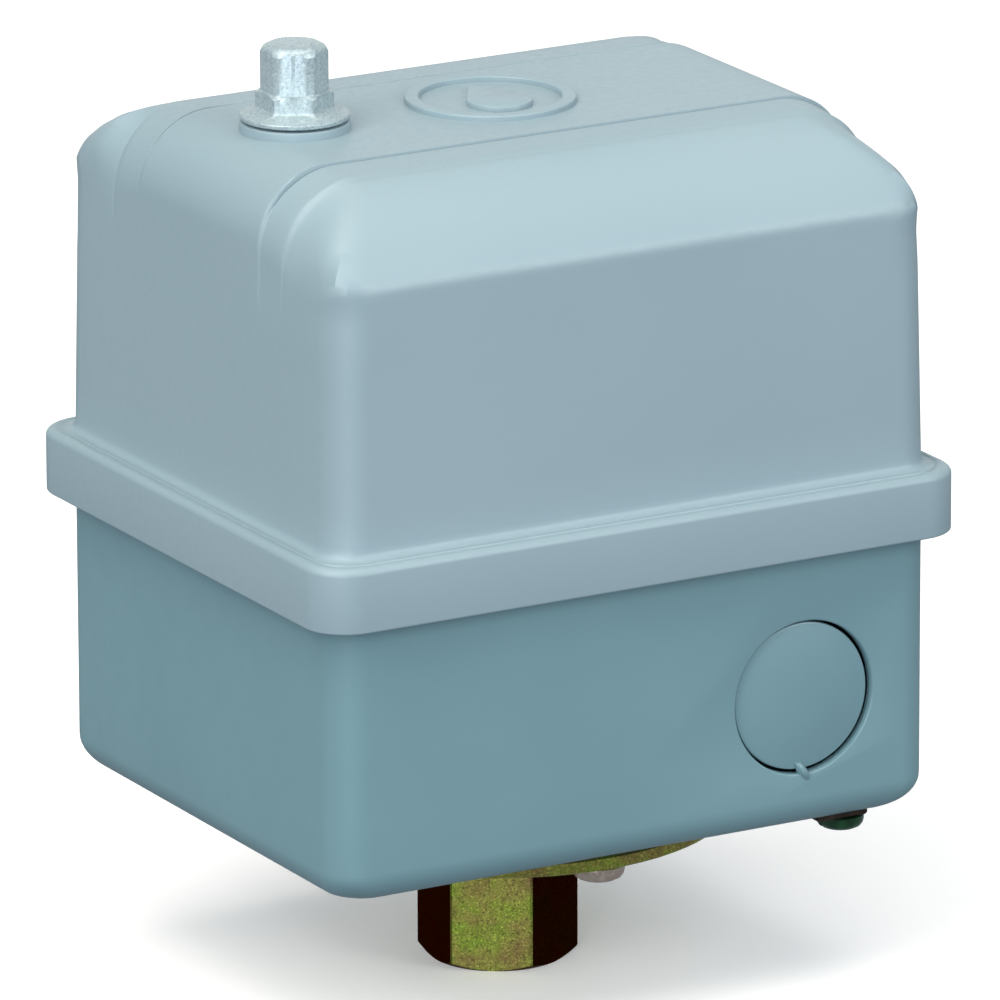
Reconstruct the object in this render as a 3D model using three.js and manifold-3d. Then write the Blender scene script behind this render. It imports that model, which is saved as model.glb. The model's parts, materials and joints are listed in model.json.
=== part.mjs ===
// Pressure switch for pumps and compressors: a painted steel pan with a moulded cover, a threaded
// pressure port under it, and a lever, spring and contact mechanism inside.
// Millimetres, +Z up. The origin is the centre of the pressure port's open bottom end.
// X runs along the wide front, whose wall (with the conduit knockout) faces -Y.

import * as THREE from "three";
import { mergeVertices } from "three/addons/utils/BufferGeometryUtils.js";
import Module from "manifold-3d";

const wasm = await Module();
wasm.setup();

// ---------------------------------------------------------------- driving dimensions

const GAP = 0.3; // clearance between pieces that touch
const FINE = 0.25; // clearance inside the thin stack of flange, diaphragm and pan
const REACH = 200; // longer than the whole switch, for cutting tools

const CASE = { width: 95, depth: 80, corner: 5, sheet: 1.5, bottomEdge: 4.8 };
const PAN_DEPTH = 40.5; // from the pan's underside to the lower edge of the cover's band
const KNOCKOUT = { radius: 11.1, slot: 0.4, tab: 1.6, x: 26.5, below: 21.1 };

const PORT = {
  acrossFlats: 19.05, turn: -4.4, length: 20.9, chamfer: 1.5, chamferAngle: 30,
  bore: 5.7, boreDepth: 14, way: 3, spigot: 7,
};
const FLANGE = { bottom: 21.2, thickness: 2.2, radius: 33, screwCircle: 28.5, screws: 6 };
const DIAPHRAGM = { thickness: 0.8, radius: 32, working: 22, wave: 2.6 };

const BAND = { overhang: 3.4, corner: 6.2, height: 9.4, ledge: 2.4, edge: 0.9 };
const COVER = { wall: 2.5, draft: 0.0165, crown: 58.9, endRadius: 10.6 };
const PLATEAU = { halfDepth: 17.3, step: 0.2 };
const SHOULDER_BULGE = 1.3;
const FRONT_SHOULDER = { side: -1, halfDepth: 23.9, top: 58.05, bottom: 47.1, endRadius: 15.5 };
const BACK_SHOULDER = { side: 1, halfDepth: 25.1, top: 58.3, bottom: 48.7, endRadius: 11.7 };
const EMBLEM = { x: 0, y: 1.3, ring: 12, rim: 2, height: 0.8, dropRadius: 4.6 };

const RANGE = { x: -30.8, y: 1.6, rod: 3.175, spring: 9.2, wire: 1.5, turns: 6, top: 96, head: 12.5 };
const DIFFERENTIAL = { x: -33, y: -18, rod: 2.4, spring: 4.9, wire: 0.9, turns: 6, top: 78, head: 8 };
const BOSS = { radius: 7.75, height: 1.2 };
const COVER_NUT = { flange: 7.65, acrossFlats: 9.53, barrel: 4.65, height: 10.7, hexHeight: 3.9 };

const LEVER = { left: -43, right: 34, halfWidth: 13, bottom: 44.3, sheet: 2, pivotX: 22, pivotZ: 50.3 };
const CARRIER = { pinX: 14, pinZ: 56, left: 28, right: 36, halfWidth: 30, bottom: 53.8, top: 57.9 };
const CHEEK = { inner: 17.2, outer: 19.2, left: 9, right: 27, top: 61.7 };
const BLOCK = { left: 8, right: 38, halfWidth: 33, bottom: 64, top: 72, barrier: 82 };
const TERMINAL = { pitch: 17, screwX: 30, contactX: 32, width: 10, sheet: 1.5 };

const SCREW = { shank: 2.1, head: 3.7, headHeight: 2.3 };
const GROUND = { x: 37.2, y: -32, shank: 2.1, head: 3.4, clamp: 0.9 };

// ---------------------------------------------------------------- levels worked out from them

const FLANGE_TOP = FLANGE.bottom + FLANGE.thickness;
const DIAPHRAGM_BOTTOM = FLANGE_TOP + FINE;
const PAN_BOTTOM = DIAPHRAGM_BOTTOM + DIAPHRAGM.thickness + FINE;
const PAN_FLOOR = PAN_BOTTOM + CASE.sheet;
const FRAME_BOTTOM = PAN_FLOOR + GAP;
const FRAME_TOP = FRAME_BOTTOM + 2;
const BAND_BOTTOM = PAN_BOTTOM + PAN_DEPTH;
const BAND_TOP = BAND_BOTTOM + BAND.height;
const PAN_RIM = BAND_TOP - BAND.ledge - GAP;
const ROOF = BAND_BOTTOM + COVER.crown;
const BOSS_TOP = ROOF + BOSS.height;
const LEVER_TOP = LEVER.bottom + LEVER.sheet;

// ---------------------------------------------------------------- solids

function solid(geometry) {
  const flat = geometry.index ? geometry.toNonIndexed() : geometry;
  flat.deleteAttribute("normal");
  flat.deleteAttribute("uv");
  const merged = mergeVertices(flat, 1e-4);
  const mesh = new wasm.Mesh({
    numProp: 3,
    vertProperties: merged.attributes.position.array,
    triVerts: new Uint32Array(merged.index.array),
  });
  return new wasm.Manifold(mesh);
}

function geometryOf(manifold) {
  const mesh = manifold.getMesh();
  const geometry = new THREE.BufferGeometry();
  geometry.setAttribute("position", new THREE.BufferAttribute(mesh.vertProperties, 3));
  geometry.setIndex(new THREE.BufferAttribute(mesh.triVerts, 1));
  geometry.computeVertexNormals();
  return geometry;
}

function join(...solids) {
  return solids.reduce((whole, next) => whole.add(next));
}

function cut(whole, ...tools) {
  return tools.reduce((rest, tool) => rest.subtract(tool), whole);
}

function box(x0, x1, y0, y1, z0, z1) {
  const geometry = new THREE.BoxGeometry(x1 - x0, y1 - y0, z1 - z0);
  return solid(geometry.translate((x0 + x1) / 2, (y0 + y1) / 2, (z0 + z1) / 2));
}

function rodZ(x, y, z0, z1, radius, segments = 16) {
  const geometry = new THREE.CylinderGeometry(radius, radius, z1 - z0, segments).rotateX(Math.PI / 2);
  return solid(geometry.translate(x, y, (z0 + z1) / 2));
}

function rodY(x, z, y0, y1, radius, segments = 16) {
  const geometry = new THREE.CylinderGeometry(radius, radius, y1 - y0, segments);
  return solid(geometry.translate(x, (y0 + y1) / 2, z));
}

// A solid of revolution about the vertical line through (x, y). Its profile is a list of
// [radius, z] from the bottom upwards; it starts and ends on the axis or closes on itself.
function turned(profile, x = 0, y = 0, segments = 16) {
  const points = profile.map(([radius, z]) => new THREE.Vector2(radius, z));
  const geometry = new THREE.LatheGeometry(points, segments).rotateX(Math.PI / 2).scale(1, -1, 1);
  const index = geometry.index.array;
  for (let i = 0; i < index.length; i += 3) [index[i], index[i + 1]] = [index[i + 1], index[i]];
  return solid(geometry.translate(x, y, 0));
}

function roundedRectangle(width, depth, radius) {
  const [w, d] = [width / 2 - radius, depth / 2 - radius];
  const shape = new THREE.Shape();
  shape.absarc(w, d, radius, 0, Math.PI / 2);
  shape.absarc(-w, d, radius, Math.PI / 2, Math.PI);
  shape.absarc(-w, -d, radius, Math.PI, 1.5 * Math.PI);
  shape.absarc(w, -d, radius, 1.5 * Math.PI, 2 * Math.PI);
  return shape;
}

function hexagon(acrossFlats) {
  const radius = acrossFlats / Math.sqrt(3);
  const shape = new THREE.Shape();
  for (let i = 0; i < 6; i++) {
    const angle = (Math.PI / 3) * i + Math.PI / 6;
    if (i === 0) shape.moveTo(radius * Math.cos(angle), radius * Math.sin(angle));
    else shape.lineTo(radius * Math.cos(angle), radius * Math.sin(angle));
  }
  return shape;
}

// A shape drawn in X and Y, raised from z0 to z1.
function raised(shape, z0, z1, curveSegments = 3) {
  const geometry = new THREE.ExtrudeGeometry(shape, { depth: z1 - z0, bevelEnabled: false, curveSegments });
  return solid(geometry.translate(0, 0, z0));
}

// A raised shape whose sides lean inwards by draft millimetres per millimetre of height.
function drafted(shape, z0, z1, draft, curveSegments = 3) {
  const geometry = new THREE.ExtrudeGeometry(shape, { depth: z1 - z0, bevelEnabled: false, curveSegments });
  const corners = geometry.attributes.position;
  for (let i = 0; i < corners.count; i++) {
    const inset = draft * corners.getZ(i);
    corners.setX(i, corners.getX(i) - Math.sign(corners.getX(i)) * inset);
    corners.setY(i, corners.getY(i) - Math.sign(corners.getY(i)) * inset);
  }
  return solid(geometry.translate(0, 0, z0));
}

// A shape drawn in X and Z, running from y0 to y1.
function acrossY(shape, y0, y1, curveSegments = 4) {
  const geometry = new THREE.ExtrudeGeometry(shape, { depth: y1 - y0, bevelEnabled: false, curveSegments });
  return solid(geometry.rotateX(Math.PI / 2).translate(0, y1, 0));
}

// A shape drawn in Y and Z, running from x0 to x1.
function alongX(shape, x0, x1, curveSegments = 4) {
  const geometry = new THREE.ExtrudeGeometry(shape, { depth: x1 - x0, bevelEnabled: false, curveSegments });
  return solid(geometry.rotateX(Math.PI / 2).rotateZ(Math.PI / 2).translate(x0, 0, 0));
}

// A box with every edge rounded, the vertical ones by corner and the others by edge.
function softBox(width, depth, corner, z0, z1, edge, segments = 3) {
  const geometry = new THREE.ExtrudeGeometry(roundedRectangle(width, depth, corner), {
    depth: z1 - z0 - 2 * edge,
    curveSegments: segments,
    bevelThickness: edge,
    bevelSize: edge,
    bevelOffset: -edge,
    bevelSegments: segments + 1,
  });
  return solid(geometry.translate(0, 0, z0 + edge));
}

// The same outline at a chosen distance inside the case's walls.
function caseOutline(inset) {
  return roundedRectangle(CASE.width - 2 * inset, CASE.depth - 2 * inset, CASE.corner - inset / 2);
}

function onCircle(count, radius, make) {
  return Array.from({ length: count }, (_, i) => {
    const angle = (2 * Math.PI * i) / count - Math.PI / 2;
    return make(radius * Math.cos(angle), radius * Math.sin(angle), i);
  });
}

// A round-wire compression spring with its two end coils closed.
function coilSpring(centre, radius, wire, turns, z0, z1) {
  const rise = new THREE.Curve();
  rise.getPoint = (t) => {
    const climb = THREE.MathUtils.clamp((t * turns - 0.75) / (turns - 1.5), 0, 1);
    const closed = Math.min(t * turns, 0.75, (1 - t) * turns) * 0.4;
    const settle = t < 0.5 ? closed : 0.6 - closed;
    const z = z0 + wire + (z1 - z0 - 2 * wire - 0.6) * climb + settle;
    const angle = 2 * Math.PI * turns * t;
    return new THREE.Vector3(centre.x + radius * Math.cos(angle), centre.y + radius * Math.sin(angle), z);
  };
  const section = new THREE.Shape();
  section.absarc(0, 0, wire, 0, 2 * Math.PI);
  const steps = Math.round(turns * 11);
  return solid(new THREE.ExtrudeGeometry(section, { steps, extrudePath: rise, curveSegments: 3 }));
}

// ---------------------------------------------------------------- materials

function material(color, roughness, metalness) {
  return new THREE.MeshStandardMaterial({ color, roughness, metalness });
}

const paintedPan = material(0x64828f, 0.45, 0);
const coverGrey = material(0x93a7b2, 0.4, 0);
const yellowZinc = material(0xa8a04c, 0.35, 1);
const brightZinc = material(0xc8d2d4, 0.3, 1);
const springSteel = material(0x8a8d8f, 0.35, 1);
const blackRubber = material(0x1c1c1d, 0.8, 0);
const darkPhenolic = material(0x2b211c, 0.55, 0);
const brass = material(0xb99a58, 0.35, 1);
const greenScrew = material(0x1f5a36, 0.4, 0.6);
const darkBronze = material(0x3b3027, 0.5, 0.8);

// ---------------------------------------------------------------- scene graph

const pressureSwitch = new THREE.Group();
const enclosure = new THREE.Group();
const pressureEnd = new THREE.Group();
const mechanism = new THREE.Group();
const contacts = new THREE.Group();
pressureSwitch.add(enclosure, pressureEnd, mechanism, contacts);

function piece(parent, name, shape, surface) {
  const mesh = new THREE.Mesh(geometryOf(shape), surface);
  mesh.name = name;
  parent.add(mesh);
}

// ---------------------------------------------------------------- enclosure: pan

function knockoutSlot(outerWall, innerWall) {
  const z = BAND_BOTTOM - KNOCKOUT.below;
  const [y0, y1] = [Math.min(outerWall, innerWall), Math.max(outerWall, innerWall)];
  const ring = cut(
    rodY(KNOCKOUT.x, z, y0, y1, KNOCKOUT.radius, 36),
    rodY(KNOCKOUT.x, z, y0, y1, KNOCKOUT.radius - KNOCKOUT.slot, 36),
  );
  const tab = KNOCKOUT.tab / 2;
  return cut(ring, box(KNOCKOUT.x - tab, KNOCKOUT.x + tab, y0, y1, z - KNOCKOUT.radius - 1, z));
}

function basePan() {
  const sheet = CASE.sheet;
  const tub = (inset, z0, z1) => softBox(
    CASE.width - 2 * inset,
    CASE.depth - 2 * inset,
    CASE.corner - inset,
    z0,
    z1,
    CASE.bottomEdge - inset,
  );
  const above = box(-REACH, REACH, -REACH, REACH, PAN_RIM, REACH);
  const wall = CASE.depth / 2;
  const screwHoles = onCircle(FLANGE.screws, FLANGE.screwCircle, (x, y) =>
    rodZ(x, y, PAN_BOTTOM - 1, PAN_FLOOR + 1, SCREW.shank + GAP, 10));
  return cut(
    tub(0, PAN_BOTTOM, PAN_RIM + 10),
    tub(sheet, PAN_FLOOR, PAN_RIM + 20),
    above,
    knockoutSlot(-wall - 1, -wall + 2 * sheet),
    knockoutSlot(wall + 1, wall - 2 * sheet),
    rodZ(0, 0, PAN_BOTTOM - 1, PAN_FLOOR + 1, DIAPHRAGM.working + 1, 36),
    rodZ(GROUND.x, GROUND.y, PAN_BOTTOM - 1, PAN_FLOOR + 1, GROUND.shank + GAP, 12),
    ...screwHoles,
  );
}

// ---------------------------------------------------------------- enclosure: cover

// The cover seen along Y: drafted walls, ends rounded by radius and a flat top, grown in by wall.
function endOutline(radius, wall) {
  const half = CASE.width / 2 - wall;
  const top = ROOF - wall;
  const round = radius - wall / 2;
  const inset = COVER.draft * (top - round - BAND_TOP);
  const shape = new THREE.Shape();
  shape.moveTo(-half, BAND_TOP - 5);
  shape.lineTo(half, BAND_TOP - 5);
  shape.lineTo(half, BAND_TOP);
  shape.absarc(half - inset - round, top - round, round, 0, Math.PI / 2);
  shape.absarc(round + inset - half, top - round, round, Math.PI / 2, Math.PI);
  shape.lineTo(-half, BAND_TOP);
  return shape;
}

// One side of the cover seen along X: the wall, the bulging shoulder, the strip and the plateau's edge.
function shoulderSide({ side, halfDepth, top, bottom }, wall) {
  const half = CASE.depth / 2 - wall;
  const creaseZ = BAND_BOTTOM + bottom - wall / 2;
  const crease = new THREE.Vector2(half - COVER.draft * (creaseZ - BAND_TOP), creaseZ);
  const brow = new THREE.Vector2(halfDepth - wall / 2, BAND_BOTTOM + top - wall);
  const middle = crease.clone().lerp(brow, 0.5);
  const outwards = new THREE.Vector2(brow.y - crease.y, crease.x - brow.x).normalize();
  const pull = middle.addScaledVector(outwards, 2 * SHOULDER_BULGE);
  const points = [
    new THREE.Vector2(half, BAND_TOP - 5),
    new THREE.Vector2(half, BAND_TOP),
    ...new THREE.QuadraticBezierCurve(crease, pull, brow).getPoints(6),
    new THREE.Vector2(PLATEAU.halfDepth, ROOF - wall - PLATEAU.step),
    new THREE.Vector2(PLATEAU.halfDepth, ROOF - wall),
  ];
  return points.map((point) => new THREE.Vector2(side * point.x, point.y));
}

function shoulderOutline(wall) {
  const front = shoulderSide(FRONT_SHOULDER, wall).reverse();
  return new THREE.Shape([...shoulderSide(BACK_SHOULDER, wall), ...front]);
}

// Beyond each brow the ends are rounded more than across the middle, with a short blend between.
function endSlices(wall) {
  const blend = [0.15, 0.5, 0.85];
  const step = 1;
  const inner = ({ halfDepth }) => halfDepth - wall / 2 - 2 * step;
  const slices = [acrossY(endOutline(COVER.endRadius, wall), -inner(FRONT_SHOULDER), inner(BACK_SHOULDER))];
  for (const { side, halfDepth, endRadius } of [FRONT_SHOULDER, BACK_SHOULDER]) {
    const edge = halfDepth - wall / 2;
    const slice = (radius, from, to) =>
      acrossY(endOutline(radius, wall), Math.min(side * from, side * to), Math.max(side * from, side * to));
    blend.forEach((share, i) => {
      const start = edge + (i - 2) * step;
      slices.push(slice(THREE.MathUtils.lerp(COVER.endRadius, endRadius, share), start, start + step));
    });
    slices.push(slice(endRadius, edge + step, CASE.depth / 2 + 1));
  }
  return join(...slices);
}

function coverBody(wall) {
  const below = raised(caseOutline(wall), BAND_TOP - 6, BAND_TOP);
  const walls = join(below, drafted(caseOutline(wall), BAND_TOP, ROOF + 1, COVER.draft));
  return walls.intersect(endSlices(wall)).intersect(alongX(shoulderOutline(wall), -REACH, REACH));
}

// A plain raised badge: a ring round a drop.
function emblem() {
  const { x, y, ring, rim, height, dropRadius } = EMBLEM;
  const tip = new THREE.Shape();
  tip.moveTo(x - dropRadius * 0.9, y + 0.4);
  tip.lineTo(x + dropRadius * 0.9, y + 0.4);
  tip.lineTo(x, y + ring - rim - 1.5);
  const belly = rodZ(x, y - 1.5, ROOF - 0.5, ROOF + height, dropRadius);
  const drop = join(belly, raised(tip, ROOF - 0.5, ROOF + height));
  const circle = cut(
    rodZ(x, y, ROOF - 0.5, ROOF + height, ring, 36),
    rodZ(x, y, ROOF - 1, ROOF + height + 1, ring - rim, 36),
  );
  return [circle, drop];
}

function cover() {
  const width = CASE.width + 2 * BAND.overhang;
  const depth = CASE.depth + 2 * BAND.overhang;
  const rim = softBox(width, depth, BAND.corner, BAND_BOTTOM - 5, BAND_TOP, BAND.edge, 2);
  const socket = roundedRectangle(CASE.width + 2 * GAP, CASE.depth + 2 * GAP, CASE.corner + GAP);
  const shell = cut(
    join(coverBody(0), rim),
    box(-REACH, REACH, -REACH, REACH, 0, BAND_BOTTOM),
    raised(socket, BAND_BOTTOM - 6, BAND_TOP - BAND.ledge),
    coverBody(COVER.wall),
  );
  const boss = rodZ(RANGE.x, RANGE.y, ROOF - 1, BOSS_TOP, BOSS.radius, 28);
  const studHole = rodZ(RANGE.x, RANGE.y, ROOF - 10, ROOF + 10, RANGE.rod + 0.6);
  return cut(join(shell, boss, ...emblem()), studHole);
}

// A closed nut with a flange under the hexagon and a plain barrel over it.
function coverNut() {
  const { flange, acrossFlats, barrel, height, hexHeight } = COVER_NUT;
  const foot = BOSS_TOP + GAP;
  const top = foot + height;
  const body = turned(
    [[0, foot], [flange, foot], [flange, foot + 0.6], [5, foot + 1], [barrel, foot + 1],
      [barrel, top - 1], [barrel - 0.4, top - 0.3], [barrel - 1.1, top], [0, top]],
    RANGE.x, RANGE.y, 24,
  );
  const hex = raised(hexagon(acrossFlats), foot + 0.3, foot + 1 + hexHeight);
  const hexTop = foot + 1 + hexHeight;
  const chamfer = turned(
    [[0, foot], [5.6, foot], [5.6, hexTop - 0.6], [barrel, hexTop], [0, hexTop]],
    0, 0, 24,
  );
  const bore = rodZ(RANGE.x, RANGE.y, foot - 1, top - 2.2, RANGE.rod + GAP);
  return cut(join(body, hex.intersect(chamfer).translate(RANGE.x, RANGE.y, 0)), bore);
}

function groundScrew() {
  const top = PAN_BOTTOM - GAP - GROUND.clamp - GAP;
  const head = turned(
    [[0, top - 1.9], [2.3, top - 1.9], [3.1, top - 1.3], [GROUND.head, top - 0.6], [GROUND.head, top],
      [GROUND.shank, top], [GROUND.shank, PAN_FLOOR + 5], [1.5, PAN_FLOOR + 5.8], [0, PAN_FLOOR + 5.8]],
    GROUND.x, GROUND.y, 16,
  );
  return cut(head, box(GROUND.x - 5, GROUND.x + 5, GROUND.y - 0.5, GROUND.y + 0.5, top - 3, top - 1));
}

function groundClamp() {
  const top = PAN_BOTTOM - GAP;
  const { x, y } = GROUND;
  const plate = box(x - 5.4, x + 3, y - 3.2, y + 3.2, top - GROUND.clamp, top);
  return cut(plate, rodZ(x, y, top - 3, top + 1, GROUND.shank + GAP, 10));
}

piece(enclosure, "base_pan", basePan(), paintedPan);
piece(enclosure, "cover", cover(), coverGrey);
piece(enclosure, "cover_nut", coverNut(), brightZinc);
piece(enclosure, "ground_screw", groundScrew(), greenScrew);
piece(enclosure, "ground_clamp", groundClamp(), darkBronze);

// ---------------------------------------------------------------- pressure end

function portFitting() {
  const corner = PORT.acrossFlats / Math.sqrt(3);
  const { turn, chamfer, chamferAngle, length, spigot, bore, boreDepth, way } = PORT;
  const chamferTop = chamfer * Math.tan(THREE.MathUtils.degToRad(chamferAngle));
  const outside = turned(
    [[0, 0], [corner - chamfer, 0], [corner, chamferTop], [corner, length], [0, length]],
    0, 0, 36,
  );
  const hex = raised(hexagon(PORT.acrossFlats), 0, length).rotate(0, 0, turn);
  const staked = rodZ(0, 0, length - 1, FLANGE_TOP, spigot);
  const passage = turned(
    [[0, -1], [bore, -1], [bore, boreDepth], [way, boreDepth + 2], [way, REACH], [0, REACH]],
    0, 0, 24,
  );
  return cut(join(hex.intersect(outside), staked), passage);
}

function diaphragmFlange() {
  const { bottom, radius, screwCircle, screws } = FLANGE;
  const disc = turned(
    [[0, bottom], [radius - 0.4, bottom], [radius, bottom + 0.4], [radius, FLANGE_TOP - 0.3],
      [radius - 0.3, FLANGE_TOP], [0, FLANGE_TOP]],
    0, 0, 40,
  );
  const holes = onCircle(screws, screwCircle, (x, y) =>
    rodZ(x, y, bottom - 1, FLANGE_TOP + 1, SCREW.shank + GAP, 10));
  return cut(disc, rodZ(0, 0, bottom - 1, FLANGE_TOP + 1, PORT.spigot + GAP), ...holes);
}

// A rubber disc with one raised wave round its working middle.
function diaphragm() {
  const { thickness, radius, working, wave } = DIAPHRAGM;
  const [low, high] = [DIAPHRAGM_BOTTOM, DIAPHRAGM_BOTTOM + thickness];
  const disc = turned(
    [[0, low], [working - wave, low], [working - wave / 2, low + 1], [working, low], [radius, low],
      [radius, high], [working, high], [working - wave / 2, high + 1], [working - wave, high], [0, high]],
    0, 0, 28,
  );
  const holes = onCircle(FLANGE.screws, FLANGE.screwCircle, (x, y) =>
    rodZ(x, y, low - 1, high + 1, SCREW.shank + GAP, 10));
  return cut(disc, ...holes);
}

function panHeadScrew(x, y, seat, tip) {
  const { shank, head, headHeight } = SCREW;
  const low = seat - headHeight;
  const body = turned(
    [[0, low], [head - 1.6, low + 0.05], [head - 0.5, low + 0.6], [head, low + 1.4], [head, seat],
      [shank, seat], [shank, tip - 0.6], [shank - 0.6, tip], [0, tip]],
    x, y, 12,
  );
  return cut(body, box(x - 5, x + 5, y - 0.5, y + 0.5, low - 1, low + 1.1));
}

function pressurePlate() {
  const low = DIAPHRAGM_BOTTOM + DIAPHRAGM.thickness + GAP;
  const top = LEVER.bottom - GAP;
  return turned(
    [[0, low], [18.4, low], [18.4, low + 2.4], [8, low + 3.4], [6, low + 5],
      [6, top - 1.2], [4.6, top - 0.3], [0, top]],
    0, 0, 28,
  );
}

piece(pressureEnd, "port_hex_fitting", portFitting(), yellowZinc);
piece(pressureEnd, "diaphragm_flange", diaphragmFlange(), yellowZinc);
piece(pressureEnd, "diaphragm", diaphragm(), blackRubber);
piece(pressureEnd, "pressure_plate", pressurePlate(), brightZinc);
onCircle(FLANGE.screws, FLANGE.screwCircle, (x, y, i) => {
  const screw = panHeadScrew(x, y, FLANGE.bottom - GAP, FRAME_TOP + 1.5);
  piece(pressureEnd, `flange_screw_${i + 1}`, screw, brass);
});

// ---------------------------------------------------------------- mechanism frame

// A bent steel frame: a floor plate with two upright cheeks whose tops fold out under the block.
function mechanismFrame() {
  const { inner, outer, left, right, top } = CHEEK;
  const plate = raised(roundedRectangle(74, 64, 4), FRAME_BOTTOM, FRAME_TOP).translate(-4, 0, 0);
  const holes = onCircle(FLANGE.screws, FLANGE.screwCircle, (x, y) =>
    rodZ(x, y, FRAME_BOTTOM - 1, FRAME_TOP + 1, SCREW.shank + GAP, 10));
  const cheek = (side) => {
    const [near, far, lip] = [side * inner, side * outer, side * (outer + 8)];
    const wall = box(left, right, Math.min(near, far), Math.max(near, far), FRAME_BOTTOM, top + 2);
    return join(wall, box(left, left + 13, Math.min(near, lip), Math.max(near, lip), top, top + 2));
  };
  const lever = rodY(LEVER.pivotX, LEVER.pivotZ, -REACH, REACH, 2.5 + GAP);
  const carrier = rodY(CARRIER.pinX, CARRIER.pinZ, -REACH, REACH, 1.5 + GAP);
  const frame = join(plate, cheek(-1), cheek(1));
  return cut(
    frame,
    lever,
    carrier,
    rodZ(0, 0, FRAME_BOTTOM - 1, FRAME_TOP + 1, DIAPHRAGM.working + 1, 32),
    rodZ(RANGE.x, RANGE.y, FRAME_BOTTOM - 1, FRAME_TOP + 1, RANGE.rod + GAP),
    rodZ(DIFFERENTIAL.x, DIFFERENTIAL.y, FRAME_BOTTOM - 1, FRAME_TOP + 1, DIFFERENTIAL.rod + GAP),
    ...blockScrewPlaces().map(([x, y]) => rodZ(x, y, top - 1, top + 3, SCREW.shank + GAP, 12)),
    ...holes,
  );
}

function blockScrewPlaces() {
  return [-1, 1].map((side) => [CHEEK.left + 5.5, side * (CHEEK.outer + 4)]);
}

// A pin across the frame with a head at the front and a groove for its clip at the back.
function pivotPin(x, z, radius) {
  const reach = CHEEK.outer + GAP;
  const groove = cut(
    rodY(x, z, reach, reach + 0.9, radius + 1),
    rodY(x, z, reach - 1, reach + 2, radius - 0.5),
  );
  const pin = join(rodY(x, z, -reach, reach + 2, radius), rodY(x, z, -reach - 1.2, -reach, radius + 1.2));
  return cut(pin, groove);
}

function pinClip(x, z, radius) {
  const reach = CHEEK.outer + GAP;
  const ring = cut(
    rodY(x, z, reach + 0.2, reach + 0.7, radius + 1.6),
    rodY(x, z, reach, reach + 1, radius - 0.2),
  );
  return cut(ring, box(x - radius + 0.9, x + radius - 0.9, reach, reach + 1, z - radius - 3, z));
}

// ---------------------------------------------------------------- lever and its springs

// A pressed channel that tips on the pivot pin: wide under the two springs, with ears for the pin.
function operatingLever() {
  const { left, right, halfWidth, bottom, sheet, pivotX, pivotZ } = LEVER;
  const floor = join(
    box(left, right, -halfWidth, halfWidth, bottom, LEVER_TOP),
    box(left, RANGE.x + 8, -halfWidth - 12, 0, bottom, LEVER_TOP),
  );
  const wall = (side, from, to, top) => {
    const [near, far] = [side * (halfWidth - 1.5), side * halfWidth];
    return box(from, to, Math.min(near, far), Math.max(near, far), bottom, top);
  };
  const sides = join(
    ...[-1, 1].map((side) => wall(side, RANGE.x + 12, right, LEVER_TOP + 2.5)),
    ...[-1, 1].map((side) => wall(side, pivotX - 5, pivotX + 5, pivotZ + 4)),
  );
  return cut(
    join(floor, sides),
    rodY(pivotX, pivotZ, -REACH, REACH, 2.5 + GAP),
    rodZ(RANGE.x, RANGE.y, bottom - 1, LEVER_TOP + 1, RANGE.rod + 1.2),
    rodZ(DIFFERENTIAL.x, DIFFERENTIAL.y, bottom - 1, LEVER_TOP + 1, DIFFERENTIAL.rod + 1.2),
  );
}

function stud({ x, y, rod }, top) {
  const collar = rod + 2;
  const [low, high] = [FRAME_TOP + GAP, FRAME_TOP + GAP + 2.5];
  return turned(
    [[0, FRAME_BOTTOM], [rod, FRAME_BOTTOM], [rod, low], [collar, low], [collar, high], [rod, high],
      [rod, top - 0.8], [rod - 0.8, top], [0, top]],
    x, y, 16,
  );
}

// A washer whose raised hub centres one end of a spring; up turns the hub towards a spring above it.
function springSeat({ x, y, rod, spring, wire }, low, up) {
  const [hole, rim] = [rod + 0.6, spring + wire];
  const hub = spring - wire - 0.4;
  const flat = [
    [hole, 0], [rim, 0], [rim, 1.2], [hub, 1.2], [hub - 0.3, 2.2], [hole, 2.2], [hole, 0],
  ];
  if (up) return turned(flat.map(([radius, z]) => [radius, low + z]), x, y, 20);
  return turned(flat.map(([radius, z]) => [radius, low + 2.2 - z]).reverse(), x, y, 20);
}

function hexNut({ x, y, rod, head }, low, height) {
  const corners = rodZ(0, 0, low, low + height, head * 0.56, 24);
  const nut = raised(hexagon(head), low, low + height).intersect(corners);
  return cut(nut.translate(x, y, 0), rodZ(x, y, low - 1, low + height + 1, rod + GAP));
}

function adjuster(name, place, studTop) {
  const seat = LEVER_TOP + GAP;
  const springLow = seat + 1.2 + GAP;
  const upperSeat = place.top + GAP - 1;
  const spring = coilSpring(place, place.spring, place.wire, place.turns, springLow, place.top);
  piece(mechanism, `${name}_stud`, stud(place, studTop), brightZinc);
  piece(mechanism, `${name}_spring_lower_seat`, springSeat(place, seat, true), brightZinc);
  piece(mechanism, `${name}_spring`, spring, springSteel);
  piece(mechanism, `${name}_spring_upper_seat`, springSeat(place, upperSeat, false), brightZinc);
  piece(mechanism, `${name}_nut`, hexNut(place, upperSeat + 2.2 + GAP, place.rod * 1.9), brightZinc);
}

piece(mechanism, "mechanism_frame", mechanismFrame(), brightZinc);
piece(mechanism, "operating_lever", operatingLever(), brightZinc);
piece(mechanism, "lever_pivot_pin", pivotPin(LEVER.pivotX, LEVER.pivotZ, 2.5), springSteel);
piece(mechanism, "lever_pin_clip", pinClip(LEVER.pivotX, LEVER.pivotZ, 2.5), springSteel);
adjuster("range", RANGE, BOSS_TOP + GAP + 7.4);
adjuster("differential", DIFFERENTIAL, DIFFERENTIAL.top + 14);

// ---------------------------------------------------------------- contacts

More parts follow.
